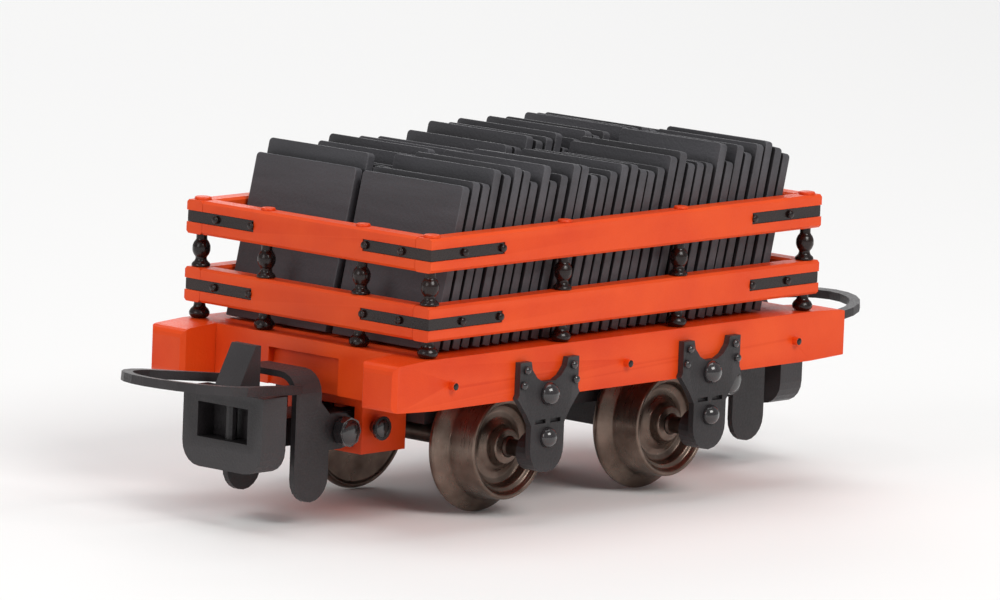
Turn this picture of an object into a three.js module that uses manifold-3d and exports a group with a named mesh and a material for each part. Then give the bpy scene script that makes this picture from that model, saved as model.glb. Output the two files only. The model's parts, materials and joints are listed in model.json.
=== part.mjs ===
// Narrow-gauge slate wagon for 9 mm gauge track, with its load of slates.
// Millimetres, +X along the track, +Y across it, +Z up.
// Origin: midway between the axles on the centre line, level with the bottom of the wheel flanges.
import * as THREE from 'three';
import Module from 'manifold-3d';
import { mergeVertices } from 'three/addons/utils/BufferGeometryUtils.js';

const wasm = await Module();
wasm.setup();

// Wheelsets
const WHEELBASE = 11.5;
const AXLE_HEIGHT = 3.35;
const FLANGE_RADIUS = 3.35;
const TREAD_RADIUS = 2.6;
const BACK_FACE_Y = 3.7;
const OUTER_FACE_Y = 5.9;
const AXLE_RADIUS = 0.5;
const JOURNAL_RADIUS = 0.4;
const JOURNAL_TIP_Y = 7.8;
const WHEEL_SEGMENTS = 24;
const AXLE_SEGMENTS = 16;

// Frame
const FRAME_LENGTH = 32;
const FRAME_WIDTH = 15.8;
const FRAME_BOTTOM = 6;
const FRAME_TOP = 8.4;
const SOLEBAR_THICKNESS = 2.2;
const HEADSTOCK_FACE_X = 13.8;
const HEADSTOCK_THICKNESS = 1.5;
const DECK_THICKNESS = 0.8;
const BOLT_X = [-12.15, 0, 12.15];
const BOLT_Z = 7.08;
const BOLT_RADIUS = 0.2;
const BOLT_REACH = 0.3;
const BOLT_DEPTH = 0.4;
const UNDERFRAME_HALF_LENGTH = 8.9;
const UNDERFRAME_HALF_WIDTH = 3.3;
const UNDERFRAME_BOTTOM = 4.35;
const FIT_GAP = 0.02;
const PIVOT_PLAY = 0.08;

// Cage of two storeys of boards on twelve stanchions
const CAGE_LENGTH = 27.6;
const CAGE_WIDTH = 15.7;
const BOARD_THICKNESS = 1;
const LOWER_BOARD = { bottom: 9.22, top: 10.86, strapBottom: 9.76, strapTop: 10.32 };
const UPPER_BOARD = { bottom: 12.44, top: 14.05, strapBottom: 12.98, strapTop: 13.54 };
const POST_RADIUS = 0.27;
const POST_HOLE_RADIUS = 0.33;
const POST_SEGMENTS = 10;
const POST_BEAD_Z = 11.72;
const CORNER_FINIAL_RADIUS = 0.42;
const FINIAL_RADIUS = 0.36;
const CORNER_POST_X = 13.25;
const SIDE_POST_X = 4.1;
const END_POST_Y = 3.05;
const STRAP_REACH_X = 5.05;
const STRAP_REACH_Y = 4.35;
const STRAP_RECESS = 0.22;
const STRAP_THICKNESS = 0.16;
const STRAP_RIVET_RADIUS = 0.16;
const STRAP_RIVET_LENGTH = 0.2;
const STRAP_RIVETS_X = [2.1, 4.7];
const STRAP_RIVETS_Y = [1.7, 4];

// Axleguards
const GUARD_THICKNESS = 0.32;
const GUARD_BOSS_Y = 7.1;
const GUARD_BOSS_RADIUS = 0.9;
const BEARING_RADIUS = 0.5;
const GUARD_FOOT_RADIUS = 1.15;
const GUARD_FOOT_Z = 3.6;
const GUARD_RIVETS = [[-1.62, 7.42], [1.62, 7.42], [-1.8, 6.72], [1.8, 6.72]];
const SPRING_DOME = { radius: 0.52, z: 6.18, proud: 0.1, depth: 0.38 };
const CAP_DOME = { radius: 0.46, z: 4.12, proud: 0.08, depth: 0.36 };
const GUARD_SLOT = { x: 0.52, half: 0.36, bottom: 4.8, top: 5, depth: 0.16 };

// Couplers
const COUPLER_PIVOT_X = 11;
const COUPLER_POST_RADIUS = 0.4;
const POCKET_FRONT_X = 12.2;
const POCKET_REAR_X = 9.2;
const POCKET_HALF_WIDTH = 2.4;
const POCKET_BOTTOM = 3.1;
const POCKET_CLEARANCE = 0.3;
const SHANK_HALF_WIDTH = 1.2;
const SHANK_BOTTOM = 3.7;
const SHANK_TOP = 5;
const HEAD_FACE_X = 19.1;
const HEAD_BACK_X = 17.5;
const HEAD_HALF_WIDTH = 2.55;
const HEAD_BOTTOM = 2.7;
const HEAD_TOP = 6.35;
const HOOK_TOP = 8.5;
const HOOK_HALF_WIDTH = 0.78;
const LOOP_PIVOT_X = 13.5;
const LOOP_PIVOT_Z = 4.35;
const LOOP_PIN_RADIUS = 0.28;
const LOOP_INSIDE_Y = 2;
const LOOP_OUTSIDE_Y = 2.3;
const LOOP_FOOT_Z = 1.15;
const ARCH_TOP = 7.3;
const BOW_CENTRE_X = 21.1;
const BOW_RADIUS = 3.4;
const BOW_WIDTH = 0.5;
const BOW_THICKNESS = 0.42;
const BOW_CLEARANCE = 0.05;
const BOW_RISE_DEG = 6;
const ARCH_FRONT_X = 16.6;
const ARCH_REAR_X = 14.9;
const PEG_X = 11.4;
const PEG_Z = 4.35;
const PEG_RADIUS = 0.3;

// Load
const SLATE_COUNT = 34;
const SLATE_PITCH = 0.69;
const SLATE_THICKNESS = 0.55;
const SLATE_FIRST_X = -12.25;
const SLATE_CORNER = 0.35;
const SLATE_LEAN = THREE.MathUtils.degToRad(13);
const SLATE_WIDTH = 6.5;
const ROW_GAP = 0.3;
const SLATE_HEIGHT = 8.15;
const SLATE_HEIGHT_SPREAD = 0.5;
const LOAD_FLOOR = FRAME_TOP + FIT_GAP;

// ---------------------------------------------------------------- materials

function material(name, color, roughness, metalness) {
  const result = new THREE.MeshStandardMaterial({ color, roughness, metalness });
  result.name = name;
  return result;
}

const orangePlastic = () => material('orange_plastic', 0xd9491c, 0.5, 0);
const brownPlastic = () => material('brown_plastic', 0x2c1a18, 0.35, 0);
const blackPlastic = () => material('black_plastic', 0x2b282b, 0.5, 0);
const slatePlastic = () => material('slate_plastic', 0x4b4b50, 0.6, 0);
const wheelMetal = () => material('wheel_metal', 0x6a5a52, 0.4, 0.9);
const axleMetal = () => material('axle_metal', 0x3a2f2b, 0.4, 0.9);

// ---------------------------------------------------------------- solids

function toManifold(geometry) {
  geometry.deleteAttribute('normal');
  geometry.deleteAttribute('uv');
  const merged = mergeVertices(geometry, 1e-4);
  const corners = merged.index.array;
  const triangles = [];
  for (let i = 0; i < corners.length; i += 3) {
    const [a, b, c] = corners.slice(i, i + 3);
    if (a !== b && b !== c && c !== a) triangles.push(a, b, c);
  }
  return new wasm.Manifold(new wasm.Mesh({
    numProp: 3,
    vertProperties: new Float32Array(merged.attributes.position.array),
    triVerts: new Uint32Array(triangles),
  }));
}

function toGeometry(solid) {
  const mesh = solid.getMesh();
  const geometry = new THREE.BufferGeometry();
  geometry.setAttribute('position', new THREE.BufferAttribute(new Float32Array(mesh.vertProperties), 3));
  geometry.setIndex(new THREE.BufferAttribute(new Uint32Array(mesh.triVerts), 1));
  geometry.computeVertexNormals();
  return geometry;
}

// A box between two opposite corners.
function box(x0, y0, z0, x1, y1, z1) {
  const geometry = new THREE.BoxGeometry(Math.abs(x1 - x0), Math.abs(y1 - y0), Math.abs(z1 - z0));
  geometry.translate((x0 + x1) / 2, (y0 + y1) / 2, (z0 + z1) / 2);
  return toManifold(geometry);
}

// A cylinder or cone along Z, Y or X, centred on the given point.
function cylinder(axis, radius, length, x, y, z, segments = 16, tipRadius = radius) {
  const geometry = new THREE.CylinderGeometry(tipRadius, radius, length, segments);
  if (axis === 'z') geometry.rotateX(Math.PI / 2);
  if (axis === 'x') geometry.rotateZ(-Math.PI / 2);
  geometry.translate(x, y, z);
  return toManifold(geometry);
}

// A squashed ball, used for rivet and bolt heads.
function ball(radius, x, y, z, depth = radius, segments = 10) {
  const geometry = new THREE.SphereGeometry(radius, segments, 6);
  geometry.scale(1, depth / radius, 1);
  geometry.translate(x, y, z);
  return toManifold(geometry);
}

// A flat outline [x, z] given a thickness between two positions across the wagon.
function plateAcross(outline, y0, y1) {
  const shape = new THREE.Shape(outline.map(([x, z]) => new THREE.Vector2(x, z)));
  const geometry = new THREE.ExtrudeGeometry(shape, { depth: y1 - y0, bevelEnabled: false });
  geometry.rotateX(Math.PI / 2);
  geometry.translate(0, y1, 0);
  return toManifold(geometry);
}

// A flat outline [x, y] given a thickness between two heights.
function plateLevel(outline, z0, z1) {
  const shape = new THREE.Shape(outline.map(([x, y]) => new THREE.Vector2(x, y)));
  const geometry = new THREE.ExtrudeGeometry(shape, { depth: z1 - z0, bevelEnabled: false });
  geometry.translate(0, 0, z0);
  return toManifold(geometry);
}

// A flat outline [y, z] given a thickness between two positions along the wagon.
function plateAlong(outline, x0, x1) {
  const shape = new THREE.Shape(outline.map(([y, z]) => new THREE.Vector2(y, z)));
  const geometry = new THREE.ExtrudeGeometry(shape, { depth: x1 - x0, bevelEnabled: false });
  geometry.rotateX(Math.PI / 2);
  geometry.rotateZ(Math.PI / 2);
  geometry.translate(x0, 0, 0);
  return toManifold(geometry);
}

// Points of an arc about a centre, both ends included.
function arc(cx, cz, radius, startDeg, endDeg, steps) {
  const points = [];
  for (let i = 0; i <= steps; i += 1) {
    const angle = THREE.MathUtils.degToRad(startDeg + ((endDeg - startDeg) * i) / steps);
    points.push([cx + radius * Math.cos(angle), cz + radius * Math.sin(angle)]);
  }
  return points;
}

function union(solids) {
  return solids.reduce((sum, solid) => sum.add(solid));
}

const wagon = new THREE.Group();
wagon.name = 'slate_wagon';

function addNode(name, solid, surface, place = {}) {
  const mesh = new THREE.Mesh(toGeometry(solid), surface);
  mesh.name = name;
  mesh.position.set(place.x || 0, place.y || 0, place.z || 0);
  mesh.rotation.z = place.turn || 0;
  wagon.add(mesh);
}

// ---------------------------------------------------------------- frame

// One solebar: rounded end blocks, a slightly deeper middle, three bolt ends on the outer face.
function solebar() {
  const half = FRAME_LENGTH / 2;
  const shoulder = half - 0.45;
  const outline = [
    [-half, FRAME_BOTTOM + 0.35],
    ...arc(-half + 0.25, FRAME_BOTTOM + 0.35, 0.25, 180, 270, 3).slice(1),
    [-half + 2.6, FRAME_BOTTOM],
    [half - 2.6, FRAME_BOTTOM],
    ...arc(half - 0.25, FRAME_BOTTOM + 0.35, 0.25, 270, 360, 3),
    ...arc(shoulder, FRAME_TOP - 0.55, 0.45, 0, 90, 4),
    [half - 2.2, FRAME_TOP],
    [-half + 2.2, FRAME_TOP],
    ...arc(-shoulder, FRAME_TOP - 0.55, 0.45, 90, 180, 4),
  ];
  const outer = FRAME_WIDTH / 2;
  let bar = plateAcross(outline, outer - SOLEBAR_THICKNESS, outer);
  const bevel = 0.3;
  for (const end of [-1, 1]) {
    for (const edge of [outer, outer - SOLEBAR_THICKNESS]) {
      const side = edge === outer ? 1 : -1;
      bar = bar.subtract(plateLevel([
        [end * (half - bevel), edge + side * 0.1],
        [end * (half + 0.1), edge - side * bevel],
        [end * (half + 0.1), edge + side * 0.1],
      ], FRAME_BOTTOM - 1, FRAME_TOP + 1));
    }
  }
  const boltMiddle = outer + (BOLT_REACH - BOLT_DEPTH) / 2;
  for (const x of BOLT_X) {
    bar = bar.add(cylinder('y', BOLT_RADIUS, BOLT_DEPTH + BOLT_REACH, x, boltMiddle, BOLT_Z, 12));
  }
  return bar;
}

// Cross member behind each pair of solebar ends, with a shallow window above the coupler.
function headstock() {
  const halfWidth = FRAME_WIDTH / 2 - SOLEBAR_THICKNESS - FIT_GAP;
  const face = -HEADSTOCK_FACE_X;
  const beam = box(face, -halfWidth, FRAME_BOTTOM, face + HEADSTOCK_THICKNESS, halfWidth, FRAME_TOP);
  const windowTop = 7.75;
  const windowHalf = 2.25;
  const window = plateAcross([
    [face - 0.1, FRAME_BOTTOM - 0.1],
    [face + 0.12, FRAME_BOTTOM - 0.1],
    [face + 0.45, windowTop],
    [face - 0.1, windowTop],
  ], -windowHalf, windowHalf);
  return beam.subtract(window);
}

function deck() {
  const halfWidth = FRAME_WIDTH / 2 - SOLEBAR_THICKNESS - FIT_GAP;
  const halfLength = HEADSTOCK_FACE_X - HEADSTOCK_THICKNESS - FIT_GAP;
  return box(-halfLength, -halfWidth, FRAME_TOP - DECK_THICKNESS, halfLength, halfWidth, FRAME_TOP);
}

// Black underframe block between the wheels, with a cross member close behind each axle.
function underframeBlock() {
  const top = FRAME_TOP - DECK_THICKNESS - FIT_GAP;
  const halfLength = UNDERFRAME_HALF_LENGTH;
  const halfWidth = UNDERFRAME_HALF_WIDTH;
  const underside = UNDERFRAME_BOTTOM;
  const memberNear = 4.1;
  const memberFar = 4.9;
  const memberBottom = AXLE_HEIGHT - 0.35;
  const body = box(-halfLength, -halfWidth, underside, halfLength, halfWidth, top);
  const members = [-1, 1].map((end) => box(
    end * memberNear, -halfWidth, memberBottom, end * memberFar, halfWidth, underside + 0.5,
  ));
  return union([body, ...members]);
}

function addFrame() {
  addNode('solebar_left', solebar(), orangePlastic());
  addNode('solebar_right', solebar(), orangePlastic(), { turn: Math.PI });
  addNode('headstock_front', headstock(), orangePlastic());
  addNode('headstock_rear', headstock(), orangePlastic(), { turn: Math.PI });
  addNode('deck', deck(), orangePlastic());
  addNode('underframe_block', underframeBlock(), blackPlastic());
}

// ---------------------------------------------------------------- cage

// Recess that carries one corner strap round the outside of a corner (front right corner).
function strapRecess(board) {
  const x = -CAGE_LENGTH / 2;
  const y = -CAGE_WIDTH / 2;
  const along = box(x - 1, y - 1, board.strapBottom, x + STRAP_REACH_X, y + STRAP_RECESS, board.strapTop);
  const across = box(x - 1, y - 1, board.strapBottom, x + STRAP_RECESS, y + STRAP_REACH_Y, board.strapTop);
  return along.add(across);
}

function mirrored(solid, x, y) {
  let result = solid;
  if (x) result = result.mirror([1, 0, 0]);
  if (y) result = result.mirror([0, 1, 0]);
  return result;
}

function postHole(x, y, board) {
  const middle = (board.bottom + board.top) / 2;
  return cylinder('z', POST_HOLE_RADIUS, 3, x, y, middle, POST_SEGMENTS);
}

function bevelledBoard(length, board) {
  const half = BOARD_THICKNESS / 2;
  const edge = 0.12;
  const section = [
    [-half + edge, board.bottom],
    [half - edge, board.bottom],
    [half, board.bottom + edge],
    [half, board.top - edge],
    [half - edge, board.top],
    [-half + edge, board.top],
    [-half, board.top - edge],
    [-half, board.bottom + edge],
  ];
  return plateAlong(section, -length / 2, length / 2);
}

// Long board on the right-hand side, running the full length of the cage.
function sideBoard(board) {
  const y = -CAGE_WIDTH / 2 + BOARD_THICKNESS / 2;
  let plank = bevelledBoard(CAGE_LENGTH, board).translate([0, y, 0]);
  plank = plank.subtract(strapRecess(board)).subtract(mirrored(strapRecess(board), true, false));
  for (const x of [-CORNER_POST_X, -SIDE_POST_X, SIDE_POST_X, CORNER_POST_X]) {
    plank = plank.subtract(postHole(x, y, board));
  }
  return plank;
}

// Short board across the front end, between the two side boards.
function endBoard(board) {
  const x = -CAGE_LENGTH / 2 + BOARD_THICKNESS / 2;
  const length = CAGE_WIDTH - 2 * BOARD_THICKNESS - 2 * FIT_GAP;
  let plank = bevelledBoard(length, board).rotate([0, 0, 90]).translate([x, 0, 0]);
  plank = plank.subtract(strapRecess(board)).subtract(mirrored(strapRecess(board), false, true));
  for (const y of [-END_POST_Y, END_POST_Y]) {
    plank = plank.subtract(postHole(x, y, board));
  }
  return plank;
}

// Riveted corner strap lying in its recess (front right corner).
function cornerStrap(board) {
  const x = -CAGE_LENGTH / 2 + STRAP_RECESS - FIT_GAP;
  const y = -CAGE_WIDTH / 2 + STRAP_RECESS - FIT_GAP;
  const bottom = board.strapBottom + FIT_GAP;
  const top = board.strapTop - FIT_GAP;
  const reachX = -CAGE_LENGTH / 2 + STRAP_REACH_X - FIT_GAP;
  const reachY = -CAGE_WIDTH / 2 + STRAP_REACH_Y - FIT_GAP;
  const along = box(x - STRAP_THICKNESS, y - STRAP_THICKNESS, bottom, reachX, y, top);
  const across = box(x - STRAP_THICKNESS, y - STRAP_THICKNESS, bottom, x, reachY, top);
  const rivets = [];
  const middle = (bottom + top) / 2;
  const radius = STRAP_RIVET_RADIUS;
  const length = STRAP_RIVET_LENGTH;
  for (const offset of STRAP_RIVETS_X) {
    rivets.push(cylinder('y', radius, length, x + offset, y - STRAP_THICKNESS, middle, 8));
  }
  for (const offset of STRAP_RIVETS_Y) {
    rivets.push(cylinder('x', radius, length, x - STRAP_THICKNESS, y + offset, middle, 8));
  }
  return union([along, across, ...rivets]);
}

// Turned stanchion: flared foot, bead halfway between the boards, small finial above the top board.
function stanchion(finialRadius) {
  const foot = FRAME_TOP + FIT_GAP;
  const bead = POST_BEAD_Z;
  const profile = [
    [0, foot],
    [0.5, foot],
    [0.34, foot + 0.16],
    [POST_RADIUS, foot + 0.36],
    [POST_RADIUS, LOWER_BOARD.top + 0.02],
    [0.48, LOWER_BOARD.top + 0.02],
    [0.3, LOWER_BOARD.top + 0.3],
    [POST_RADIUS, bead - 0.42],
    [0.43, bead - 0.15],
    [0.43, bead + 0.15],
    [POST_RADIUS, bead + 0.42],
    [POST_RADIUS, UPPER_BOARD.top + 0.02],
    [finialRadius, UPPER_BOARD.top + 0.02],
    [finialRadius, UPPER_BOARD.top + 0.14],
    [finialRadius * 0.6, UPPER_BOARD.top + 0.32],
    [0, UPPER_BOARD.top + 0.38],
  ];
  const geometry = new THREE.LatheGeometry(profile.map(([r, z]) => new THREE.Vector2(r, z)), POST_SEGMENTS);
  geometry.rotateX(Math.PI / 2);
  return toManifold(geometry);
}

function addCage() {
  const sideY = CAGE_WIDTH / 2 - BOARD_THICKNESS / 2;
  const endX = CAGE_LENGTH / 2 - BOARD_THICKNESS / 2;
  for (const [storey, board] of [['lower', LOWER_BOARD], ['upper', UPPER_BOARD]]) {
    addNode(`side_board_right_${storey}`, sideBoard(board), orangePlastic());
    addNode(`side_board_left_${storey}`, sideBoard(board), orangePlastic(), { turn: Math.PI });
    addNode(`end_board_front_${storey}`, endBoard(board), orangePlastic());
    addNode(`end_board_rear_${storey}`, endBoard(board), orangePlastic(), { turn: Math.PI });
    const strap = cornerStrap(board);
    addNode(`corner_strap_front_right_${storey}`, strap, brownPlastic());
    addNode(`corner_strap_front_left_${storey}`, mirrored(strap, false, true), brownPlastic());
    addNode(`corner_strap_rear_right_${storey}`, mirrored(strap, true, false), brownPlastic());
    addNode(`corner_strap_rear_left_${storey}`, mirrored(strap, true, true), brownPlastic());
  }
  for (const [end, ex] of [['front', -1], ['rear', 1]]) {
    for (const [side, sy] of [['right', -1], ['left', 1]]) {
      const corner = { x: ex * CORNER_POST_X, y: sy * sideY };
      addNode(`stanchion_corner_${end}_${side}`, stanchion(CORNER_FINIAL_RADIUS), brownPlastic(), corner);
      const flank = { x: ex * SIDE_POST_X, y: sy * sideY };
      addNode(`stanchion_side_${end}_${side}`, stanchion(FINIAL_RADIUS), brownPlastic(), flank);
      const across = { x: ex * endX, y: sy * END_POST_Y };
      addNode(`stanchion_end_${end}_${side}`, stanchion(FINIAL_RADIUS), brownPlastic(), across);
    }
  }
}

// ---------------------------------------------------------------- running gear

// One wheel, turned about Y with its back face towards -Y: deep flange, coned tread, dished face.
function wheel() {
  const bore = AXLE_RADIUS + FIT_GAP;
  const profile = [
    [bore, BACK_FACE_Y],
    [FLANGE_RADIUS - 0.2, BACK_FACE_Y],
    [FLANGE_RADIUS, BACK_FACE_Y + 0.22],
    [FLANGE_RADIUS, BACK_FACE_Y + 0.36],
    [TREAD_RADIUS + 0.06, BACK_FACE_Y + 0.75],
    [TREAD_RADIUS - 0.08, OUTER_FACE_Y],
    [TREAD_RADIUS - 0.36, OUTER_FACE_Y],
    [TREAD_RADIUS - 0.5, OUTER_FACE_Y - 0.4],
    [TREAD_RADIUS - 0.8, OUTER_FACE_Y - 0.46],
    [TREAD_RADIUS - 0.92, OUTER_FACE_Y - 0.22],
    [TREAD_RADIUS - 1.08, OUTER_FACE_Y - 0.22],
    [TREAD_RADIUS - 1.3, OUTER_FACE_Y - 0.42],
    [0.95, OUTER_FACE_Y - 0.36],
    [0.8, OUTER_FACE_Y - 0.05],
    [bore, OUTER_FACE_Y - 0.05],
    [bore, BACK_FACE_Y],
  ];
  const points = profile.map(([r, y]) => new THREE.Vector2(r, y));
  return toManifold(new THREE.LatheGeometry(points, WHEEL_SEGMENTS));
}

// Axle with reduced journals and pointed ends, turned about Y.
function axle() {
  const shoulder = OUTER_FACE_Y;
  const half = [
    [AXLE_RADIUS, shoulder],
    [JOURNAL_RADIUS, shoulder + 0.1],
    [JOURNAL_RADIUS, JOURNAL_TIP_Y - 0.4],
    [0, JOURNAL_TIP_Y],
  ];
  const profile = [...half.map(([r, y]) => [r, -y]).reverse(), ...half];
  const points = profile.map(([r, y]) => new THREE.Vector2(r, y));
  return toManifold(new THREE.LatheGeometry(points, AXLE_SEGMENTS));
}

function addWheelsets() {
  for (const [end, ex] of [['front', -1], ['rear', 1]]) {
    const centre = { x: (ex * WHEELBASE) / 2, z: AXLE_HEIGHT };
    addNode(`axle_${end}`, axle(), axleMetal(), centre);
    addNode(`wheel_${end}_left`, wheel(), wheelMetal(), centre);
    addNode(`wheel_${end}_right`, wheel(), wheelMetal(), { ...centre, turn: Math.PI });
  }
}

// Axleguard (left side): forked plate on the solebar with two domed bosses, bearing boss behind.
function axleguard() {
  const plateBack = FRAME_WIDTH / 2 + FIT_GAP;
  const plateFront = plateBack + GUARD_THICKNESS;
  const right = [
    [0, GUARD_FOOT_Z - GUARD_FOOT_RADIUS],
    ...arc(0, GUARD_FOOT_Z, GUARD_FOOT_RADIUS, 292, 360, 5),
    [GUARD_FOOT_RADIUS, 4.75],
    [1.5, 5.3],
    [2.15, 6.1],
    [2.04, 6.3],
    [2.04, 7.8],
    [1.28, 7.8],
    [1.18, 7.4],
    [0.82, 6.98],
    [0.4, 6.78],
  ];
  const left = right.slice(1).reverse().map(([x, z]) => [-x, z]);
  const plate = plateAcross([...right, ...left], plateBack, plateFront);
  const bossLength = plateFront - GUARD_BOSS_Y - 0.1;
  const bossMiddle = GUARD_BOSS_Y + bossLength / 2;
  const boss = cylinder('y', GUARD_BOSS_RADIUS, bossLength, 0, bossMiddle, AXLE_HEIGHT, 20);
  const bearing = cylinder('y', BEARING_RADIUS, 1.6, 0, GUARD_BOSS_Y + 0.1, AXLE_HEIGHT, 16);
  const domes = [SPRING_DOME, CAP_DOME].map((dome) => ball(
    dome.radius, 0, plateFront + dome.proud, dome.z, dome.depth,
  ));
  const rivets = GUARD_RIVETS.map(([x, z]) => cylinder('y', 0.18, 0.2, x, plateFront, z, 8));
  let guard = union([plate, boss, ...domes, ...rivets]);
  for (const x of [-GUARD_SLOT.x, GUARD_SLOT.x]) {
    guard = guard.subtract(box(
      x - GUARD_SLOT.half, plateFront - GUARD_SLOT.depth, GUARD_SLOT.bottom,
      x + GUARD_SLOT.half, plateFront + 1, GUARD_SLOT.top,
    ));
  }
  return guard.subtract(bearing);
}

function addAxleguards() {
  for (const [end, ex] of [['front', -1], ['rear', 1]]) {
    const x = (ex * WHEELBASE) / 2;
    addNode(`axleguard_${end}_left`, axleguard(), blackPlastic(), { x });
    addNode(`axleguard_${end}_right`, axleguard(), blackPlastic(), { x, turn: Math.PI });
  }
}

// ---------------------------------------------------------------- couplers, front end; turned for the rear

// Orange pocket under the frame, open to the front, with the upright post the shank swings on.
function pocket() {
  const top = FRAME_TOP - DECK_THICKNESS - FIT_GAP;
  const front = -POCKET_FRONT_X;
  const rear = -POCKET_REAR_X;
  const floor = SHANK_BOTTOM - POCKET_CLEARANCE;
  const ceiling = SHANK_TOP + POCKET_CLEARANCE;
  const mouthHalf = 1.9;
  const body = box(front, -POCKET_HALF_WIDTH, POCKET_BOTTOM, rear, POCKET_HALF_WIDTH, top);
  const mouth = box(front - 1, -mouthHalf, floor, rear - 0.3, mouthHalf, ceiling);
  const postLength = ceiling - floor + 0.2;
  const postMiddle = (floor + ceiling) / 2;
  const post = cylinder('z', COUPLER_POST_RADIUS, postLength, -COUPLER_PIVOT_X, 0, postMiddle, 12);
  return body.subtract(mouth).add(post);
}

// Flared plug on the side of the pocket (left side).
function pocketPeg() {
  const wall = POCKET_HALF_WIDTH + FIT_GAP;
  const profile = [[0, 0], [PEG_RADIUS, 0], [0.38, 0.2], [0.56, 0.42], [0.58, 0.58], [0, 0.58]];
  const geometry = new THREE.LatheGeometry(profile.map(([r, y]) => new THREE.Vector2(r, y)), 16);
  return toManifold(geometry).translate([-PEG_X, wall, PEG_Z]);
}

// Drawhead: slotted box with an upright catch pin and a hook on top, on a shank with a round eye.
function drawhead() {
  const face = -HEAD_FACE_X;
  const back = -HEAD_BACK_X;
  const w = HEAD_HALF_WIDTH;
  const corner = 1.1;
  const outline = [
    ...arc(-w + corner, HEAD_BOTTOM + corner, corner, 180, 270, 5),
    ...arc(w - corner, HEAD_BOTTOM + corner, corner, 270, 360, 5),
    [w, HEAD_TOP],
    [-w, HEAD_TOP],
  ];
  const slotHalf = 1.6;
  const slotBottom = 4.1;
  const slotTop = 5.75;
  const slot = box(face - 1, -slotHalf, slotBottom, face + 1.1, slotHalf, slotTop);
  const slotMiddle = (slotTop + slotBottom) / 2;
  const catchLength = slotTop - slotBottom + 0.2;
  const catchPin = cylinder('z', 0.28, catchLength, face + 0.6, 0, slotMiddle, 10);
  const hook = plateAcross([
    [face, HEAD_TOP - 0.15],
    [back, HEAD_TOP - 0.15],
    [back, HOOK_TOP],
    [back - 0.35, HOOK_TOP],
  ], -HOOK_HALF_WIDTH, HOOK_HALF_WIDTH);
  const eyeX = -COUPLER_PIVOT_X;
  const middle = (SHANK_BOTTOM + SHANK_TOP) / 2;
  const shank = box(back - 0.3, -SHANK_HALF_WIDTH, SHANK_BOTTOM, eyeX, SHANK_HALF_WIDTH, SHANK_TOP);
  const eye = cylinder('z', SHANK_HALF_WIDTH, SHANK_TOP - SHANK_BOTTOM, eyeX, 0, middle, 20);
  const eyeHole = cylinder('z', COUPLER_POST_RADIUS + PIVOT_PLAY, 3, eyeX, 0, middle, 16);
  const pinHole = cylinder('y', LOOP_PIN_RADIUS + FIT_GAP, 4, -LOOP_PIVOT_X, 0, LOOP_PIVOT_Z, 16);
  const head = plateAlong(outline, face, back).subtract(slot);
  return union([head, catchPin, hook, shank, eye]).subtract(eyeHole).subtract(pinHole);
}

// Flat bow over the drawhead, rising slightly towards its tip to clear the next wagon's hook.
function loopBow() {
  const rootX = -16.2;
  const rootY = 2.26;
  const centre = HEAD_BACK_X - BOW_CENTRE_X;
  const root = HEAD_BACK_X + rootX;
  const outer = [...arc(centre, 0, BOW_RADIUS, 90, 270, 12), [root, -rootY], [root, rootY]];
  const inner = [
    ...arc(centre, 0, BOW_RADIUS - BOW_WIDTH, 90, 270, 12),
    [root + 1, BOW_WIDTH - rootY],
    [root + 1, rootY - BOW_WIDTH],
  ];
  const opening = plateLevel(inner, -1, BOW_THICKNESS + 1);
  return plateLevel(outer, 0, BOW_THICKNESS)
    .subtract(opening)
    .rotate([0, BOW_RISE_DEG, 0])
    .translate([-HEAD_BACK_X, 0, HEAD_TOP + BOW_CLEARANCE]);
}

// Arched web that joins the two legs over the shank.
function loopArch() {
  const bend = 1.1;
  const thickness = LOOP_OUTSIDE_Y - LOOP_INSIDE_Y;
  const shoulderY = LOOP_OUTSIDE_Y - bend;
  const shoulderZ = ARCH_TOP - bend;
  const outline = [
    ...arc(shoulderY, shoulderZ, bend, 0, 90, 5),
    ...arc(-shoulderY, shoulderZ, bend, 90, 180, 5),
    ...arc(-shoulderY, shoulderZ, bend - thickness, 180, 90, 5),
    ...arc(shoulderY, shoulderZ, bend - thickness, 90, 0, 5),
  ];
  return plateAlong(outline, -ARCH_FRONT_X, -ARCH_REAR_X);
}

// Round-footed leg with the ear that hangs it on the pivot pin (left side).
function loopLeg() {
  const front = -ARCH_FRONT_X;
  const rear = -14.3;
  const radius = (rear - front) / 2;
  const earRadius = 0.85;
  const outline = [
    ...arc(front + radius, LOOP_FOOT_Z + radius, radius, 180, 360, 10),
    [rear, LOOP_PIVOT_Z - earRadius],
    ...arc(-LOOP_PIVOT_X, LOOP_PIVOT_Z, earRadius, 270, 450, 8),
    [rear, LOOP_PIVOT_Z + earRadius],
    [-ARCH_REAR_X, 5.8],
    [-ARCH_REAR_X, ARCH_TOP - 1],
    [front, ARCH_TOP - 1],
  ];
  const holeRadius = LOOP_PIN_RADIUS + PIVOT_PLAY;
  const hole = cylinder('y', holeRadius, 1, -LOOP_PIVOT_X, LOOP_OUTSIDE_Y, LOOP_PIVOT_Z, 16);
  return plateAcross(outline, LOOP_INSIDE_Y, LOOP_OUTSIDE_Y).subtract(hole);
}

function couplingLoop() {
  const leg = loopLeg();
  return union([loopBow(), loopArch(), leg, mirrored(leg, false, true)]);
}

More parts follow.
